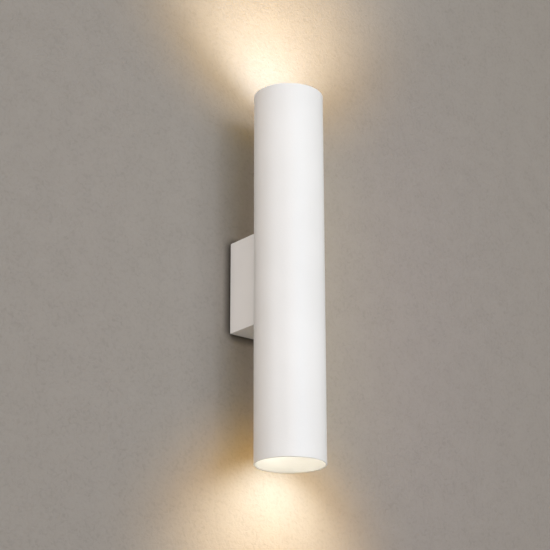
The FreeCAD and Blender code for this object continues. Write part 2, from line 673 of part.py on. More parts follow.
def lampholder_contacts():
    # Two bent brass strips: each lead is welded to the foot, and the tongue bears on a lamp pin.
    contacts = []
    low = lead_end_z()
    high = pin_foot_z() - LAMP_PLAY
    outside = PIN_CIRCLE + PIN_HEAD_RADIUS + CONTACT_PLAY
    near = TUBE_Y - CONTACT_HALF_WIDTH
    far = TUBE_Y + CONTACT_HALF_WIDTH
    for side in (-1, 1):
        foot = block(CONTACT_FOOT_X, outside, near, far, low, low + CONTACT_THICK)
        leg = block(outside - CONTACT_THICK, outside, near, far, low, high)
        tongue = block(CONTACT_TONGUE_X, outside, near, far, high - CONTACT_THICK, high)
        contact = foot.fuse(leg).fuse(tongue).removeSplitter()
        if side < 0:
            contact.rotate(vec(0, TUBE_Y, 0), vec(0, 0, 1), 180)
        contacts.append(contact)
    return group(contacts)


def lampholder_screws():
    screws = []
    under_head = HOLDER_BASE_Z + HOLDER_EAR_HEIGHT
    for x in (-HOLDER_EAR_X, HOLDER_EAR_X):
        tip = vec(x, TUBE_Y, under_head - HOLDER_SCREW_LENGTH)
        screws.append(screw(M3, HOLDER_SCREW_LENGTH, tip, vec(0, 0, 1)))
    return group(screws)


def turned(points):
    # A solid of revolution about the tube's axis; points are (radius, height) pairs.
    corners = [vec(radius, TUBE_Y, height) for radius, height in points]
    corners.append(corners[0])
    face = Part.Face(Part.makePolygon(corners))
    return face.revolve(vec(0, TUBE_Y, 0), vec(0, 0, 1), 360)


def neck_top_z():
    return LAMP_BASE_Z + LAMP_NECK_HEIGHT


def rim_z():
    return LAMP_FACE_Z - LAMP_RIM_HEIGHT


def lamp_base():
    # The moulded cap with the pins: a stepped cup open towards the lamp.
    floor = LAMP_BASE_Z + CAP_FLOOR
    bore = LAMP_NECK_RADIUS - CAP_WALL
    base = turned([(0, LAMP_BASE_Z), (LAMP_NECK_RADIUS - CAP_BREAK, LAMP_BASE_Z),
                   (LAMP_NECK_RADIUS, LAMP_BASE_Z + CAP_BREAK), (LAMP_NECK_RADIUS, neck_top_z()),
                   (bore, neck_top_z()), (bore, floor), (0, floor)])
    for side in (-1, 1):
        base = base.cut(upright(PIN_NECK_RADIUS, LAMP_BASE_Z - OVERCUT, LAMP_BASE_Z + PIN_SET_IN,
                                side * PIN_CIRCLE))
    return base


def lamp_pins():
    pins = []
    for side in (-1, 1):
        x = side * PIN_CIRCLE
        foot = pin_foot_z()
        head = upright(PIN_HEAD_RADIUS, foot, foot + PIN_HEAD_HEIGHT, x)
        head = head.makeFillet(PIN_ROUND, [top_edge(head, vec(x, TUBE_Y, foot))])
        neck = upright(PIN_NECK_RADIUS, foot + PIN_HEAD_HEIGHT, LAMP_BASE_Z + PIN_SET_IN, x)
        pins.append(head.fuse(neck).removeSplitter())
    return group(pins)


def lamp_heatsink():
    # A flared shell round the driver, with upright grooves between its fins and a ledge for the lens.
    low = neck_top_z()
    foot = SHELL_FOOT_RADIUS
    shell = turned([(SHELL_THROAT_RADIUS, low), (foot, low),
                    (foot + SHELL_FOOT_STEP, low + SHELL_FOOT_STEP),
                    (LAMP_RADIUS - LAMP_EDGE, rim_z()), (LAMP_RADIUS, rim_z()),
                    (LAMP_RADIUS, LAMP_FACE_Z - LAMP_EDGE), (LAMP_RADIUS - LAMP_EDGE, LAMP_FACE_Z),
                    (LENS_RADIUS, LAMP_FACE_Z), (LENS_RADIUS, board_z()),
                    (LENS_RADIUS - LENS_LEDGE, board_z()),
                    (SHELL_THROAT_RADIUS, low + SHELL_THROAT)])
    above = rim_z() + OVERCUT
    beyond = LAMP_RADIUS + OVERCUT
    outside = turned([(FIN_FLOOR_LOW, low), (beyond, low), (beyond, above), (FIN_FLOOR_HIGH, above)])
    for step in range(FIN_COUNT):
        groove = block(FIN_ROOT_RADIUS, beyond, TUBE_Y - FIN_GROOVE / 2, TUBE_Y + FIN_GROOVE / 2,
                       low + FIN_START, rim_z() - FIN_END)
        groove = groove.common(outside)
        groove.rotate(vec(0, TUBE_Y, 0), vec(0, 0, 1), 360 / FIN_COUNT * (step + 0.5))
        shell = shell.cut(groove)
    return shell


def board_z():
    return lens_back_z() - LENS_TO_BOARD - LED_BOARD_THICK


def lens_front_z():
    return LAMP_FACE_Z - LENS_RECESS


def lens_back_z():
    return lens_front_z() - LENS_THICK


def lamp_led_board():
    top = board_z() + LED_BOARD_THICK
    board = upright(LENS_RADIUS, board_z(), top)
    for step in range(LENS_DOMES):
        x, y = dome_place(step)
        board = board.fuse(block(x - CHIP_HALF, x + CHIP_HALF, y - CHIP_HALF, y + CHIP_HALF,
                                 top, top + CHIP_HEIGHT))
    return board


def dome_place(step):
    angle = math.radians(360 / LENS_DOMES * step + LENS_DOME_START)
    return LENS_DOME_RING * math.cos(angle), TUBE_Y + LENS_DOME_RING * math.sin(angle)


def lamp_lens():
    lens = upright(LENS_RADIUS - LENS_FIT, lens_back_z(), lens_front_z())
    for step in range(LENS_DOMES):
        x, y = dome_place(step)
        lens = lens.fuse(Part.makeCone(LENS_DOME_WIDE, LENS_DOME_NARROW, LENS_DOME_DEPTH,
                                       vec(x, y, lens_back_z()), vec(0, 0, -1)))
    return lens.removeSplitter()


def lamp_driver_board():
    return block(-DRIVER_HALF_WIDTH, DRIVER_HALF_WIDTH,
                 TUBE_Y - DRIVER_HALF_THICK, TUBE_Y + DRIVER_HALF_THICK,
                 LAMP_BASE_Z + CAP_FLOOR + DRIVER_PLAY, neck_top_z() + DRIVER_ABOVE_NECK)


def lead(points):
    # A lead of round section along straight runs joined by tangent arcs.
    pieces = []
    start = points[0]
    radii = []
    for before, corner, after in zip(points, points[1:], points[2:]):
        back = before.sub(corner)
        ahead = after.sub(corner)
        half_turn = (math.pi - back.getAngle(ahead)) / 2
        shorter = min(back.Length, ahead.Length)
        radius = min(LEAD_BEND, BEND_SHARE * shorter / math.tan(half_turn))
        setback = radius * math.tan(half_turn)
        back.normalize()
        ahead.normalize()
        arc_start = corner.add(back * setback)
        arc_end = corner.add(ahead * setback)
        middle_way = back.add(ahead)
        middle_way.normalize()
        middle = corner.add(middle_way * (radius / math.cos(half_turn) - radius))
        pieces.append(Part.LineSegment(start, arc_start).toShape())
        pieces.append(Part.Arc(arc_start, middle, arc_end).toShape())
        start = arc_end
        radii.append(round(radius, 1))
    pieces.append(Part.LineSegment(start, points[-1]).toShape())
    path = Part.Wire(pieces)
    section = Part.Wire(Part.Circle(points[0], points[1].sub(points[0]), LEAD_RADIUS).toShape())
    tube = path.makePipeShell([section], True, False)
    share = tube.Volume / (path.Length * math.pi * LEAD_RADIUS ** 2)
    print("lead bends", radii, "length", round(path.Length, 1), "volume ratio", round(share, 4))
    return tube


def pole_lead_start(pole_x, offset):
    return vec(pole_x + offset, POLE_Y, BLOCK_TOP_Z - LEAD_ENTRY)


def lamp_lead(pole_x, side, end):
    # From its pole, through the grommet, up (end 1) or down (end -1) the tube to its contact.
    pass_z = end * LEAD_PAIR_Z
    x = side * LEAD_PAIR_X
    start = pole_lead_start(pole_x, -end * LEAD_OFFSET)
    return lead([
        start,
        vec(start.x, POLE_Y, pass_z),
        vec(x, LEAD_TURN_Y, pass_z),
        vec(x, LEAD_RISE_Y, pass_z),
        vec(x, LEAD_RISE_Y, end * LEAD_SWING_START),
        vec(side * CONTACT_X, TUBE_Y, end * LEAD_SWING_END),
        vec(side * CONTACT_X, TUBE_Y, end * lead_end_z()),
    ])


def tube_earth_lead():
    start = pole_lead_start(POLE_PITCH, -LEAD_OFFSET)
    barrel_y = CARRIER_FRONT_Y - LUG_BARREL_RADIUS
    barrel_z = EARTH_TUBE_Z + LUG_RADIUS + LUG_NECK + LUG_CRIMP
    return lead([
        start,
        vec(start.x, POLE_Y, 0),
        vec(EARTH_PASS_X, LEAD_TURN_Y, 0),
        vec(EARTH_PASS_X + EARTH_LEAN_X, EARTH_RISE_Y, 0),
        vec(EARTH_PASS_X + EARTH_TURN_X, EARTH_RISE_Y, EARTH_TURN_Z),
        vec(EARTH_TUBE_X, barrel_y, EARTH_LAND_Z),
        vec(EARTH_TUBE_X, barrel_y, barrel_z),
    ])


def plate_earth_lead():
    start = pole_lead_start(POLE_PITCH, LEAD_OFFSET)
    barrel_y = -PLATE_THICK - LUG_BARREL_RADIUS
    barrel_z = EARTH_PLATE_Z - LUG_RADIUS - LUG_NECK - LUG_CRIMP
    return lead([
        start,
        vec(start.x, POLE_Y, EARTH_DROP_Z),
        vec(EARTH_PLATE_X, barrel_y, EARTH_REACH_Z),
        vec(EARTH_PLATE_X, barrel_y, barrel_z),
    ])


def lead_sleeve():
    low = vec(0, LEAD_RISE_Y, SLEEVE_LOW)
    high = vec(0, LEAD_RISE_Y, SLEEVE_HIGH)
    return ring(SLEEVE_RADIUS, SLEEVE_BORE, low, high)


os.makedirs("parts", exist_ok=True)

save("tube_body", tube_body())
save("wall_box", wall_box())
save("box_lock_screws", box_lock_screws())
save("wall_plate", wall_plate())
save("cable_entry_grommet", plate_grommet())
save("terminal_block_housing", terminal_housing())
save("terminal_block_clamps", terminal_clamps())
save("terminal_block_screws", terminal_screws())
save("terminal_block_fixing_screws", terminal_fixing_screws())
save("plate_earth_lug", plate_earth_lug())
save("plate_earth_screw", plate_earth_screw())
save("plate_earth_lead", plate_earth_lead())
save("tube_grommet", tube_grommet())
save("tube_fixing_screws", tube_fixing_screws())
save("tube_fixing_washers", tube_fixing_washers())
save("carrier_spacers", carrier_spacers())
save("carrier_strip", carrier_strip())
save("carrier_nuts", carrier_nuts())
save("tube_earth_lug", tube_earth_lug())
save("tube_earth_screw", tube_earth_screw())
save("tube_earth_lead", tube_earth_lead())
save_pair("holder_bracket", holder_bracket())
save_pair("bracket_screws", bracket_screws())
save_pair("lampholder", lampholder())
save_pair("lampholder_cover", lampholder_cover())
save_pair("lampholder_contacts", lampholder_contacts())
save_pair("lampholder_screws", lampholder_screws())
save_pair("lamp_base", lamp_base())
save_pair("lamp_pins", lamp_pins())
save_pair("lamp_heatsink", lamp_heatsink())
save_pair("lamp_led_board", lamp_led_board())
save_pair("lamp_driver_board", lamp_driver_board())
save_pair("lamp_lens", lamp_lens())
save_pair("lead_sleeve", lead_sleeve())
for end_name, end in (("upper", 1), ("lower", -1)):
    save(end_name + "_live_lead", lamp_lead(-POLE_PITCH, -1, end))
    save(end_name + "_neutral_lead", lamp_lead(0.0, 1, end))
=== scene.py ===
import bpy
import math
from mathutils import Matrix, Vector


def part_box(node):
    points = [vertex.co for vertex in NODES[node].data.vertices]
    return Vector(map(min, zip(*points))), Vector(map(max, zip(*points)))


# Looks of the tube wall light. Metres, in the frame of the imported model: X right along the wall,
# Y into the wall, Z up, with the origin on the wall midway between the two wall screws.

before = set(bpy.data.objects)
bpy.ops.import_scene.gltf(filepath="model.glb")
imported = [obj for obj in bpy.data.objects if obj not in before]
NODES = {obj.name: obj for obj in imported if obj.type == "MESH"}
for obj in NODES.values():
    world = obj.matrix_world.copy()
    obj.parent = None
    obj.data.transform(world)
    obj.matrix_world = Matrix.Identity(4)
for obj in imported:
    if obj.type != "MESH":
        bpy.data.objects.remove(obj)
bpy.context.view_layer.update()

ENDS = (("upper", 1), ("lower", -1))

TUBE_LOW, TUBE_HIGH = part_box("tube_body")
TUBE_Y = (TUBE_LOW.y + TUBE_HIGH.y) / 2
LENS_LOW, LENS_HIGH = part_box("upper_lamp_lens")
LENS_RADIUS = (LENS_HIGH.x - LENS_LOW.x) / 2


# ---------------------------------------------------------------- shader maths

# Socket numbers of a colour Mix node.
MIX_FACTOR = 0
MIX_FIRST = 6
MIX_SECOND = 7
MIX_RESULT = 2


class Value:
    """A node socket that takes part in arithmetic; each operator adds a Math node."""

    def __init__(self, paint, socket):
        self.paint = paint
        self.socket = socket

    def maths(self, operation, *others):
        """Adds a Math node with this value as its first input."""
        return self.paint.add("ShaderNodeMath", {"operation": operation}, [self, *others])

    def __add__(self, other):
        return self.maths("ADD", other)

    def __sub__(self, other):
        return self.maths("SUBTRACT", other)

    def __mul__(self, other):
        return self.maths("MULTIPLY", other)

    def __radd__(self, other):
        return self.maths("ADD", other)

    def __rmul__(self, other):
        return self.maths("MULTIPLY", other)

    def __rsub__(self, other):
        return self.paint.add("ShaderNodeMath", {"operation": "SUBTRACT"}, [other, self])

    def power(self, other):
        return self.maths("POWER", other)

    def between(self, low, high):
        """0 below low, 1 above high and smooth between them."""
        return self.paint.add("ShaderNodeMapRange", {"interpolation_type": "SMOOTHSTEP"}, {
            "Value": self, "From Min": low, "From Max": high})


class Paint:
    """One material: a Principled shader and the nodes that feed it."""

    def __init__(self, name):
        self.material = bpy.data.materials.new(name)
        self.material.use_nodes = True
        self.nodes = self.material.node_tree.nodes
        self.links = self.material.node_tree.links
        self.shader = next(n for n in self.nodes if n.type == "BSDF_PRINCIPLED")
        self.output = next(n for n in self.nodes if n.type == "OUTPUT_MATERIAL")
        self.place = self.add("ShaderNodeTexCoord", output="Object")

    def add(self, kind, settings=(), sockets=(), output=0):
        """Adds a node: its settings first, then the values or links of its sockets."""
        node = self.nodes.new(kind)
        for key, value in dict(settings).items():
            setattr(node, key, value)
        pairs = sockets.items() if isinstance(sockets, dict) else enumerate(sockets)
        for key, value in pairs:
            self.feed(node.inputs[key], value)
        return Value(self, node.outputs[output])

    def feed(self, socket, value):
        """Links a value to the socket, or sets the socket to a number, vector or colour."""
        if isinstance(value, Value):
            self.links.new(value.socket, socket)
        elif isinstance(value, tuple) and len(value) == 3 and socket.type == "RGBA":
            socket.default_value = (*value, 1.0)
        else:
            socket.default_value = value

    def set(self, **sockets):
        """Feeds the shader's own sockets, whose names have _ for each space."""
        for key, value in sockets.items():
            self.feed(self.shader.inputs[key.replace("_", " ")], value)

    def noise(self, scale, detail=3.0, roughness=0.5, place=None, distortion=0.0):
        return self.add("ShaderNodeTexNoise", {}, {
            "Vector": place or self.place, "Scale": scale, "Detail": detail,
            "Roughness": roughness, "Distortion": distortion})

    def cells(self, scale, feature="F1", output=0):
        return self.add("ShaderNodeTexVoronoi", {"feature": feature}, {
            "Vector": self.place, "Scale": scale}, output)

    def stretched(self, scale):
        """The place on the piece, with its own scale along each axis."""
        return self.add("ShaderNodeMapping", {}, {"Vector": self.place, "Scale": scale})

    def axis(self, name):
        return self.add("ShaderNodeSeparateXYZ", {}, [self.place], output=name)

    def mix(self, factor, first, second):
        """A colour from first, at factor 0, to second, at factor 1."""
        sockets = {MIX_FACTOR: factor, MIX_FIRST: first, MIX_SECOND: second}
        return self.add("ShaderNodeMix", {"data_type": "RGBA"}, sockets, MIX_RESULT)

    def bump(self, height, distance):
        self.set(Normal=self.add("ShaderNodeBump", {}, {"Height": height, "Distance": distance}))


# ------------------------------------------------------------------- finishes

# A pattern's scale is in repeats per metre and a bump's distance in metres.

def dimmed(colour, share):
    """The colour with each part multiplied by share."""
    return tuple(share * part for part in colour)


def powder_coat(name, colour, peel=1.0):
    """Matt white powder coat: a fine orange peel, faint cloudiness and slightly uneven sheen."""
    paint = Paint(name)
    clouds = paint.noise(14.0, detail=2.0)
    speck = paint.noise(900.0, detail=2.0)
    base = paint.mix(clouds.between(0.3, 0.7), dimmed(colour, 0.965), colour)
    paint.set(Base_Color=paint.mix(speck.between(0.62, 0.8) * 0.10, base, dimmed(colour, 0.85)))
    paint.set(Roughness=0.38 + clouds * 0.06 + speck * 0.06)
    paint.set(Specular_IOR_Level=0.45)
    coarse = paint.noise(420.0, detail=2.0, roughness=0.45)
    fine = paint.noise(1500.0, detail=2.0, roughness=0.5)
    paint.bump(coarse * 0.75 + fine * 0.25, 0.00007 * peel)
    return paint.material


def zinc_sheet():
    """Zinc-plated steel sheet: a soft grain along its length, faint spangle and rub marks."""
    paint = Paint("zinc_plated_sheet")
    grain = paint.noise(1.0, detail=4.0, roughness=0.6, place=paint.stretched((900.0, 900.0, 30.0)))
    spangle = paint.cells(160.0, output="Distance")
    stain = paint.noise(40.0, detail=3.0)
    base = paint.mix(grain, (0.50, 0.51, 0.53), (0.66, 0.67, 0.68))
    paint.set(Base_Color=paint.mix(stain.between(0.55, 0.8) * 0.35, base, (0.42, 0.41, 0.38)))
    paint.set(Metallic=1.0)
    paint.set(Roughness=0.30 + grain * 0.14 + spangle * 0.10)
    paint.bump(grain * 0.6 + spangle * 0.4, 0.00003)
    return paint.material


def plated_screw():
    """Bright zinc-plated fasteners, with turning marks and a little dulling."""
    paint = Paint("plated_screw")
    wear = paint.noise(500.0, detail=3.0)
    scratch = paint.noise(1.0, detail=3.0, roughness=0.6, place=paint.stretched((2500.0, 300.0, 2500.0)))
    paint.set(Base_Color=paint.mix(wear, (0.55, 0.56, 0.58), (0.74, 0.75, 0.76)))
    paint.set(Metallic=1.0)
    paint.set(Roughness=0.22 + wear * 0.16)
    paint.bump(scratch, 0.00002)
    return paint.material


def black_rubber():
    """Moulded rubber: near black, bloomed a little, with a fine grain."""
    paint = Paint("moulded_rubber")
    bloom = paint.noise(220.0, detail=4.0)
    grain = paint.noise(3000.0, detail=2.0)
    paint.set(Base_Color=paint.mix(bloom.between(0.4, 0.8), (0.018, 0.018, 0.018), (0.05, 0.049, 0.047)))
    paint.set(Roughness=0.62 + bloom * 0.2)
    paint.bump(grain, 0.00003)
    return paint.material


def moulded_plastic(name, colour, roughness, speckle=0.0):
    """Moulded plastic with a light spark-eroded texture and slow colour drift."""
    paint = Paint(name)
    drift = paint.noise(60.0, detail=2.0)
    texture = paint.noise(2400.0, detail=2.0)
    base = paint.mix(drift, dimmed(colour, 0.94), colour)
    paint.set(Base_Color=paint.mix(texture.between(0.6, 0.8) * speckle, base, dimmed(colour, 0.7)))
    paint.set(Roughness=roughness + drift * 0.08)
    paint.bump(texture, 0.00002)
    return paint.material


def brass():
    """Machined brass, slightly tarnished in patches."""
    paint = Paint("machined_brass")
    tarnish = paint.noise(300.0, detail=4.0)
    turning = paint.noise(1.0, detail=2.0, roughness=0.5, place=paint.stretched((400.0, 400.0, 6000.0)))
    paint.set(Base_Color=paint.mix(tarnish.between(0.45, 0.75), (0.74, 0.52, 0.22), (0.45, 0.30, 0.14)))
    paint.set(Metallic=1.0)
    paint.set(Roughness=0.24 + tarnish * 0.2)
    paint.bump(turning, 0.000015)
    return paint.material


def tinned_metal(name, colour):
    """Tin or nickel plating: soft grey metal with fine pits."""
    paint = Paint(name)
    pits = paint.noise(1200.0, detail=3.0)
    paint.set(Base_Color=paint.mix(pits, dimmed(colour, 0.82), colour))
    paint.set(Metallic=1.0)
    paint.set(Roughness=0.28 + pits * 0.18)
    paint.bump(pits, 0.00002)
    return paint.material


def lead_sheath(name, colour, stripe=None):
    """Extruded lead sheath, satin, with a faint draw grain; the earth lead has a second colour."""
    paint = Paint(name)
    grain = paint.noise(1.0, detail=3.0, roughness=0.6, place=paint.stretched((3000.0, 3000.0, 200.0)))
    base = paint.mix(grain, dimmed(colour, 0.8), colour)
    if stripe:
        across = paint.add("ShaderNodeNewGeometry", output="Normal")
        side = paint.add("ShaderNodeSeparateXYZ", {}, [across], output="X")
        base = paint.mix(side.between(0.15, 0.25), base, stripe)
    paint.set(Base_Color=base)
    paint.set(Roughness=0.42 + grain * 0.12)
    paint.bump(grain, 0.00002)
    return paint.material


def glass_braid():
    """Woven glass-fibre sleeving: two crossed sets of threads."""
    paint = Paint("glass_fibre_braid")
    settings = {"wave_type": "BANDS", "bands_direction": "DIAGONAL", "wave_profile": "SIN"}
    turned = paint.add("ShaderNodeMapping", {}, {"Vector": paint.place, "Rotation": (0.0, 0.0, math.pi / 2)})
    one, two = (paint.add("ShaderNodeTexWave", settings, {"Vector": place, "Scale": 420.0}, "Fac")
                for place in (paint.place, turned))
    weave = one * two
    fuzz = paint.noise(1500.0, detail=3.0)
    paint.set(Base_Color=paint.mix(weave + fuzz * 0.3, (0.62, 0.59, 0.50), (0.86, 0.84, 0.76)))
    paint.set(Roughness=0.85)
    paint.bump(weave + fuzz * 0.2, 0.00012)
    return paint.material


def fired_ceramic():
    """Unglazed steatite: off-white, faintly speckled, with a dry sheen."""
    paint = Paint("fired_ceramic")
    speck = paint.noise(1300.0, detail=2.0)
    drift = paint.noise(70.0, detail=3.0)
    base = paint.mix(drift, (0.80, 0.77, 0.70), (0.88, 0.86, 0.81))
    paint.set(Base_Color=paint.mix(speck.between(0.66, 0.78) * 0.5, base, (0.52, 0.46, 0.38)))
    paint.set(Roughness=0.55 + drift * 0.12)
    paint.bump(speck * 0.5 + drift * 0.5, 0.00004)
    return paint.material


def circuit_board(name, mask):
    """Solder mask over copper: fine tracks just show through, with tinned pads."""
    paint = Paint(name)
    tracks = paint.cells(900.0, feature="DISTANCE_TO_EDGE")
    line = 1.0 - tracks.between(0.03, 0.09)
    pads = paint.cells(700.0)
    pad = 1.0 - pads.between(0.12, 0.2)
    base = paint.mix(line * 0.35, mask, tuple(min(1.0, c * 1.35) for c in mask))
    paint.set(Base_Color=paint.mix(pad, base, (0.72, 0.71, 0.68)))
    paint.set(Metallic=pad * 0.9)
    paint.set(Roughness=0.35 + pad * 0.1)
    paint.bump(line * 0.5 + pad, 0.00003)
    return paint.material


# The lit lens. Distances are in metres and angles in radians. LENS_GLOW is the shader's strength, RIB_PACE
# is in radians per metre, and the dull edge begins and ends at shares of the lens's radius.
LENS_GLOW = 0.85
DOME_CIRCLE = 0.0135
DOME_RADIUS = 0.0066
DOME_HEIGHT = 0.0012
DOME_PITCH = math.radians(60.0)
DOME_START = math.radians(15.0)
CHIP_NEAR = 0.0005
CHIP_FAR = 0.0042
RIB_PACE = 4200.0
EDGE_FROM = 0.93
EDGE_TO = 0.97
TURN = 2 * math.pi


def lit_lens():
    """The lamp's lit front: clear ribbed plastic with a bright round lens over each of its chips."""
    paint = Paint("lit_lens")
    across = paint.axis("X")
    deep = paint.axis("Y") - TUBE_Y
    radius = (across * across + deep * deep).power(0.5)
    turn = deep.maths("ARCTAN2", across) - DOME_START
    fold = (turn + 2 * TURN).maths("PINGPONG", DOME_PITCH / 2)
    along = radius * fold.maths("COSINE") - DOME_CIRCLE
    aside = radius * fold.maths("SINE")
    off_chip = (along * along + aside * aside).power(0.5)
    dome = 1.0 - off_chip.between(0.0, DOME_RADIUS)
    heart = 1.0 - off_chip.between(CHIP_NEAR, CHIP_FAR)
    rings = (radius * RIB_PACE).maths("SINE") * (1.0 - dome)
    body = paint.mix(dome, (0.72, 0.69, 0.62), (0.90, 0.88, 0.84))
    edge = radius.between(LENS_RADIUS * EDGE_FROM, LENS_RADIUS * EDGE_TO)
    paint.set(Base_Color=paint.mix(edge, body, (0.55, 0.53, 0.49)))
    paint.set(Roughness=0.16 + rings * 0.05 + paint.noise(900.0) * 0.08)
    haze = paint.mix(dome, (0.26, 0.18, 0.10), (0.62, 0.47, 0.29))
    paint.set(Emission_Color=paint.mix(heart, haze, (1.0, 0.88, 0.66)))
    paint.set(Emission_Strength=LENS_GLOW)
    paint.bump(dome + rings * 0.06, DOME_HEIGHT)
    return paint.material


COAT_WHITE = (0.86, 0.85, 0.83)


def dress(material, *names):
    """Gives the named nodes the material in place of their plain one."""
    for name in names:
        slots = NODES[name].data.materials
        slots.clear()
        slots.append(material)


def both(*names):
    """The names with each end's prefix."""
    return [end + "_" + name for end, _ in ENDS for name in names]


def dress_nodes():
    """Every node's finish."""
    dress(powder_coat("tube_powder_coat", COAT_WHITE), "tube_body")
    dress(powder_coat("box_powder_coat", COAT_WHITE, peel=0.8), "wall_box")
    dress(powder_coat("screw_powder_coat", COAT_WHITE, peel=0.5), "box_lock_screws")
    dress(zinc_sheet(), "wall_plate", "carrier_strip", *both("holder_bracket"))
    dress(black_rubber(), "cable_entry_grommet", "tube_grommet")
    dress(moulded_plastic("terminal_plastic", (0.80, 0.78, 0.70), roughness=0.42),
          "terminal_block_housing")
    dress(brass(), "terminal_block_clamps", *both("lampholder_contacts"))
    dress(plated_screw(), "terminal_block_screws", "terminal_block_fixing_screws", "plate_earth_screw",
          "tube_earth_screw", "tube_fixing_screws", "tube_fixing_washers", "carrier_spacers", "carrier_nuts",
          *both("bracket_screws", "lampholder_screws"))
    dress(tinned_metal("tinned_copper", (0.72, 0.70, 0.66)), "plate_earth_lug", "tube_earth_lug")
    dress(tinned_metal("nickel_pin", (0.78, 0.75, 0.68)), *both("lamp_pins"))
    dress(lead_sheath("earth_lead_sheath", (0.62, 0.60, 0.03), stripe=(0.05, 0.30, 0.05)),
          "plate_earth_lead", "tube_earth_lead")
    dress(lead_sheath("live_lead_sheath", (0.16, 0.055, 0.02)), *both("live_lead"))
    dress(lead_sheath("neutral_lead_sheath", (0.02, 0.10, 0.42)), *both("neutral_lead"))
    dress(glass_braid(), *both("lead_sleeve"))
    dress(fired_ceramic(), *both("lampholder", "lampholder_cover"))
    dress(moulded_plastic("lamp_cap_plastic", (0.84, 0.83, 0.79), roughness=0.30), *both("lamp_base"))
    dress(moulded_plastic("lamp_shell_plastic", (0.80, 0.80, 0.78), roughness=0.38, speckle=0.1),
          *both("lamp_heatsink"))
    dress(circuit_board("led_board", (0.72, 0.73, 0.71)), *both("lamp_led_board"))
    dress(circuit_board("driver_board", (0.03, 0.20, 0.07)), *both("lamp_driver_board"))
    dress(lit_lens(), *both("lamp_lens"))


# ---------------------------------------------------------------------- stage

WALL_COLOUR = (0.328, 0.299, 0.266)
WALL_ROUGHNESS = 0.9
WALL_HALF_WIDTH = 6.0
WALL_TOP = 4.0
WALL_SHIM = 0.0003
OPENING_PLAY = 0.0005
# The painted contact shade on the wall: its reach in metres, its samples, how steeply it darkens and its
# darkest colour.
PAINTED_SHADE_REACH = 0.0105
PAINTED_SHADE_SAMPLES = 16
PAINTED_SHADE_DEPTH = 2.2
PAINTED_SHADE_COLOUR = (0.020, 0.014, 0.008)
FLOOR_COLOUR = (0.74, 0.73, 0.71)
FLOOR_ROUGHNESS = 0.8
FLOOR_PALENESS = 0.7
FLOOR_HALF_WIDTH = 60.0
FLOOR_Z = -1.6
PALE_BACKGROUND = (0.80, 0.79, 0.77)


def one_sided(name, colour, roughness):
    """A stage material that casts no shadow and is clear from behind, so every side of the object shows."""
    paint = Paint(name)
    cloud = paint.noise(1.6, detail=4.0)
    paint.base = paint.mix(cloud, dimmed(colour, 0.96), dimmed(colour, 1.03))
    paint.set(Base_Color=paint.base)
    paint.set(Roughness=roughness)
    paint.set(Specular_IOR_Level=0.2)
    clear = paint.add("ShaderNodeBsdfTransparent")
    behind = paint.add("ShaderNodeNewGeometry", output="Backfacing")
    shadow_ray = paint.add("ShaderNodeLightPath", output="Is Shadow Ray")
    see_through = behind.maths("MAXIMUM", shadow_ray)
    mixed = paint.add("ShaderNodeMixShader", {}, [see_through, Value(paint, paint.shader.outputs[0]), clear])
    paint.links.new(mixed.socket, paint.output.inputs["Surface"])
    return paint


def plaster_wall():
    """Painted plaster with fine pores, and painted contact shade where something stands against it."""
    paint = one_sided("plain_wall", WALL_COLOUR, WALL_ROUGHNESS)
    pores = paint.noise(230.0, detail=5.0, roughness=0.62, distortion=0.6)
    blotches = paint.noise(38.0, detail=3.0)
    base = paint.mix(1.0 - pores.between(0.30, 0.56), paint.base, dimmed(WALL_COLOUR, 0.90))
    base = paint.mix(blotches.between(0.35, 0.7) * 0.5, base, dimmed(WALL_COLOUR, 1.05))
    # Painted shade: the wall's colour darkens towards near black close to the box, a painted contact shadow
    # and dark seam.
    painted_corner_shade = paint.add("ShaderNodeAmbientOcclusion", {"samples": PAINTED_SHADE_SAMPLES},
                       {"Distance": PAINTED_SHADE_REACH}, "AO")
    paint.set(Base_Color=paint.mix(painted_corner_shade.power(PAINTED_SHADE_DEPTH), PAINTED_SHADE_COLOUR, base))
    paint.bump(pores, 0.0006)
    return paint.material


def pale_floor():
    """A plain floor that the camera sees mostly in its own pale colour, however it is lit."""
    paint = one_sided("plain_floor", FLOOR_COLOUR, FLOOR_ROUGHNESS)
    pale = paint.add("ShaderNodeEmission", {}, {"Color": PALE_BACKGROUND, "Strength": 1.0})
    seen = paint.add("ShaderNodeLightPath", output="Is Camera Ray")
    lit = Value(paint, paint.output.inputs["Surface"].links[0].from_socket)
    mixed = paint.add("ShaderNodeMixShader", {}, [seen * FLOOR_PALENESS, lit, pale])
    paint.links.new(mixed.socket, paint.output.inputs["Surface"])
    return paint.material


def sheet(name, corners, faces, material):
    """A flat piece of the stage."""
    mesh = bpy.data.meshes.new(name)
    mesh.from_pydata(corners, [], faces)
    mesh.materials.append(material)
    piece = bpy.data.objects.new(name, mesh)
    bpy.context.scene.collection.objects.link(piece)
    return piece


def rectangle(half_width, y, low, high):
    """An upright rectangle's corners, from its lower left one on."""
    return [(-half_width, y, low), (half_width, y, low), (half_width, y, high), (-half_width, y, high)]


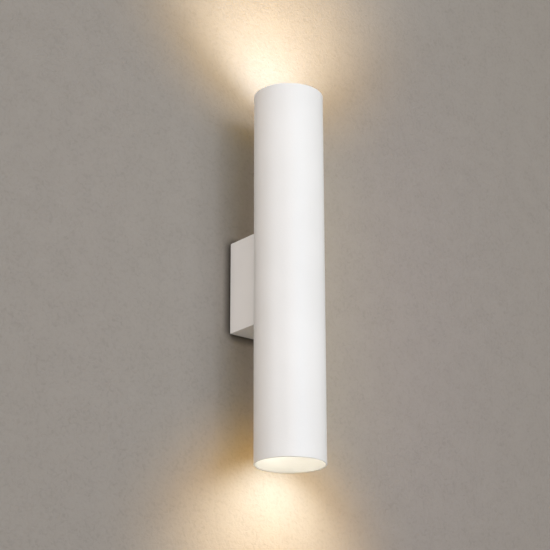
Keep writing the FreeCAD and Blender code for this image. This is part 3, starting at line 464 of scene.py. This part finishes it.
def build_stage():
    """A floor, and a wall with an opening that shows the wall plate's back from behind."""
    plate_low, plate_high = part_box("wall_plate")
    opening = rectangle(plate_high.x + OPENING_PLAY, WALL_SHIM, plate_low.z - OPENING_PLAY,
                        plate_high.z + OPENING_PLAY)
    corners = rectangle(WALL_HALF_WIDTH, WALL_SHIM, FLOOR_Z, WALL_TOP) + opening
    strips = [(0, 1, 5, 4), (1, 2, 6, 5), (2, 3, 7, 6), (3, 0, 4, 7)]
    wall = sheet("backdrop_wall", corners, strips, plaster_wall())
    bpy.data.collections.new("backdrop").objects.link(wall)
    f = FLOOR_HALF_WIDTH
    floor_corners = [(-f, -f, FLOOR_Z), (f, -f, FLOOR_Z), (f, f, FLOOR_Z), (-f, f, FLOOR_Z)]
    sheet("pale_floor", floor_corners, [(0, 1, 2, 3)], pale_floor())


# --------------------------------------------------------------------- lights

def set_power(data, power):
    """Gives a light its power in watts for red, green and blue."""
    data.energy = max(power)
    data.color = [part / data.energy for part in power]


def area_light(name, place, aim, size, power):
    """A square lamp at a place, turned to its aim."""
    data = bpy.data.lights.new(name, "AREA")
    data.shape = "SQUARE"
    data.size = size
    set_power(data, power)
    lamp = bpy.data.objects.new(name, data)
    lamp.location = place
    lamp.rotation_euler = (aim - place).to_track_quat("-Z", "Y").to_euler()
    bpy.context.scene.collection.objects.link(lamp)
    return lamp


def light_wall_only(lamp):
    """Lets a lamp light only the backdrop, with no shadow of the tube or the box on it."""
    lamp.visible_camera = False
    lamp.light_linking.receiver_collection = bpy.data.collections["backdrop"]
    lamp.light_linking.blocker_collection = bpy.data.collections["backdrop"]


def spare_wall(lamp):
    """Keeps a lamp's light off the backdrop."""
    spared = bpy.data.collections.new(lamp.name + "_spares")
    spared.children.link(bpy.data.collections["backdrop"])
    spared.collection_children[0].light_linking.link_state = "EXCLUDE"
    lamp.light_linking.receiver_collection = spared


def wall_band(name, x, off_wall, height, width, power):
    """An upright band of soft light for the backdrop alone."""
    place = Vector((x, -off_wall, 0.0))
    lamp = area_light(name, place, place + Vector((0.0, 1.0, 0.0)), width, power)
    lamp.data.shape = "RECTANGLE"
    lamp.data.size_y = height
    light_wall_only(lamp)


def wall_glow(name, end, height, off_wall, tilt, half_angle, blend, power):
    """A cone of light for the backdrop alone: what an end of the tube throws on the wall."""
    data = bpy.data.lights.new(name, "SPOT")
    data.spot_size = 2 * math.radians(half_angle)
    data.spot_blend = blend
    data.shadow_soft_size = FAN_LAMP_RADIUS
    set_power(data, power)
    lamp = bpy.data.objects.new(name, data)
    lamp.location = (FAN_CENTRE_X, -off_wall, end * height)
    ahead = Vector((0.0, math.sin(math.radians(tilt)), end * math.cos(math.radians(tilt))))
    lamp.rotation_euler = ahead.to_track_quat("-Z", "Y").to_euler()
    light_wall_only(lamp)
    bpy.context.scene.collection.objects.link(lamp)


def studio_light(name, azimuth, elevation, distance, size, power):
    """A soft box round the light at an azimuth, 0 in front and 90 to the right."""
    a = math.radians(azimuth)
    e = math.radians(elevation)
    aim = Vector((0.0, TUBE_Y, 0.0))
    place = aim + distance * Vector((math.sin(a) * math.cos(e), -math.cos(a) * math.cos(e), math.sin(e)))
    return area_light(name, place, aim, size, power)


# Each light's power is given in watts for red, green and blue.
# Soft boxes: name, azimuth, elevation, distance, size, power.
STUDIO = (
    ("left_softbox", -30.0, 10.0, 2.4, 1.2, (17.7, 15.5, 15.3)),
    ("front_softbox", -10.0, 10.0, 2.4, 1.2, (1.8, 5.9, 9.5)),
    ("right_softbox", 10.0, 10.0, 2.4, 1.2, (11.4, 12.1, 14.0)),
    ("far_right_box", 48.0, 5.0, 2.4, 1.2, (6.6, 6.5, 6.6)),
    ("low_fill", -20.0, -45.0, 2.4, 1.2, (1.1, 1.3, 0.8)),
    ("top_fill", 0.0, 60.0, 2.4, 1.2, (2.1, 2.4, 0.7)),
    ("near_left_box", -85.0, 10.0, 1.2, 0.5, (3.1, 3.1, 3.2)),
    ("back_fill", 150.0, 15.0, 2.4, 1.6, (13.0, 13.0, 13.0)),
)

# These would brighten the tube's shadow on the wall or the wall's far left, so they spare the wall, and it
# has a frontal light of its own.
WALL_SPARED = ("left_softbox", "far_right_box", "near_left_box")
WALL_KEY = ("wall_key", -14.0, 10.0, 2.4, 1.5, (20.0, 18.1, 18.1))

# What the lit ends throw on the wall: name, end, height, distance off the wall, tilt, half angle,
# blend, power. The wide cones make the soft fans and the near ones the bright hearts of the fans.
WALL_GLOWS = (
    ("upper_fan", 1, 0.304, 0.1645, 76.5, 58.3, 0.80, (1.40, 0.80, 0.0)),
    ("upper_heart", 1, 0.134, 0.0595, -15.8, 53.4, 0.82, (5.6, 6.6, 7.8)),
    ("lower_fan", -1, 0.2475, 0.145, 81.0, 56.8, 0.79, (1.08, 0.58, 0.0)),
    ("lower_heart", -1, 0.1386, 0.074, 13.0, 53.0, 0.88, (1.26, 1.54, 1.71)),
)
FAN_CENTRE_X = 0.030
FAN_LAMP_RADIUS = 0.005

# The faint light along the tube's right side: name, x, distance off the wall, height, width, power.
WALL_BANDS = (
    ("near_band", 0.085, 0.05, 0.44, 0.03, (0.030, 0.026, 0.014)),
    ("middle_band", 0.11, 0.12, 0.46, 0.05, (0.030, 0.033, 0.004)),
    ("wide_band", 0.15, 0.22, 0.50, 0.10, (0.058, 0.027, 0.068)),
)

# The lamp's own light: a small disc in front of each lens, a little to the left and back, where the
# photo's mouth is brightest.
LENS_LIGHT = (0.0238, 0.0230, 0.0202)
LENS_LIGHT_SHIFT = Vector((-0.0125, 0.0095, 0.001))
LENS_LIGHT_SIZE = 0.034
WORLD_LIGHT = (0.44, 0.38, 0.31)


def build_lights():
    """Every light: the soft boxes, what reaches only the wall, the two lamps' glow and the surround."""
    for row in STUDIO:
        box = studio_light(*row)
        if box.name in WALL_SPARED:
            spare_wall(box)
    key = studio_light(*WALL_KEY)
    key.light_linking.receiver_collection = bpy.data.collections["backdrop"]
    for row in WALL_GLOWS:
        wall_glow(*row)
    for row in WALL_BANDS:
        wall_band(*row)
    shift = LENS_LIGHT_SHIFT
    for name, end in ENDS:
        place = Vector((shift.x, TUBE_Y + shift.y, end * (LENS_HIGH.z + shift.z)))
        outwards = Vector((0.0, 0.0, end))
        glow = area_light(name + "_glow", place, place + outwards, LENS_LIGHT_SIZE, LENS_LIGHT)
        glow.data.shape = "DISK"
        glow.visible_camera = False
    build_world()


def build_world():
    """A soft warm surround; the camera and glossy reflections see a plain pale background instead."""
    world = bpy.data.worlds.new("studio")
    world.use_nodes = True
    nodes = world.node_tree.nodes
    path = nodes.new("ShaderNodeLightPath")
    pale = nodes.new("ShaderNodeMath")
    pale.operation = "MAXIMUM"
    choice = nodes.new("ShaderNodeMix")
    choice.data_type = "RGBA"
    choice.inputs[MIX_FIRST].default_value = (*WORLD_LIGHT, 1.0)
    choice.inputs[MIX_SECOND].default_value = (*PALE_BACKGROUND, 1.0)
    links = world.node_tree.links
    links.new(path.outputs["Is Camera Ray"], pale.inputs[0])
    links.new(path.outputs["Is Glossy Ray"], pale.inputs[1])
    links.new(pale.outputs[0], choice.inputs[MIX_FACTOR])
    links.new(choice.outputs[MIX_RESULT], nodes["Background"].inputs["Color"])
    nodes["Background"].inputs["Strength"].default_value = 1.0
    bpy.context.scene.world = world


# --------------------------------------------------------------------- camera

# Solved from the outlines in the photo, then orbited up by 0.74 degrees until the tube's ends fitted.
# The focal length is in pixels of the photo, and a negative pitch looks up.
PHOTO_SIZE = 550
SENSOR = 36.0
CAMERA_PLACE = Vector((-1.0761, -1.3968, -0.6040))
CAMERA_YAW = math.radians(-38.623)
CAMERA_PITCH = math.radians(-19.49)
CAMERA_ROLL = math.radians(-0.119)
CAMERA_FOCUS_PX = 1761.6


def build_camera():
    """The photo's camera: where it stands, how it is turned and its focal length."""
    data = bpy.data.cameras.new("photo_camera")
    data.sensor_width = SENSOR
    data.lens = CAMERA_FOCUS_PX / PHOTO_SIZE * SENSOR
    ahead = Vector((-math.sin(CAMERA_YAW) * math.cos(CAMERA_PITCH),
                    math.cos(CAMERA_YAW) * math.cos(CAMERA_PITCH), -math.sin(CAMERA_PITCH)))
    right = Vector((math.cos(CAMERA_YAW), math.sin(CAMERA_YAW), 0.0))
    up = right.cross(ahead)
    rolled_right = right * math.cos(CAMERA_ROLL) + up * math.sin(CAMERA_ROLL)
    rolled_up = up * math.cos(CAMERA_ROLL) - right * math.sin(CAMERA_ROLL)
    turn = Matrix((rolled_right, rolled_up, -ahead)).transposed()
    camera = bpy.data.objects.new("photo_camera", data)
    camera.matrix_world = Matrix.Translation(CAMERA_PLACE) @ turn.to_4x4()
    bpy.context.scene.collection.objects.link(camera)
    bpy.context.scene.camera = camera


dress_nodes()
build_stage()
build_lights()
build_camera()

bpy.context.scene.view_settings.view_transform = "Standard"
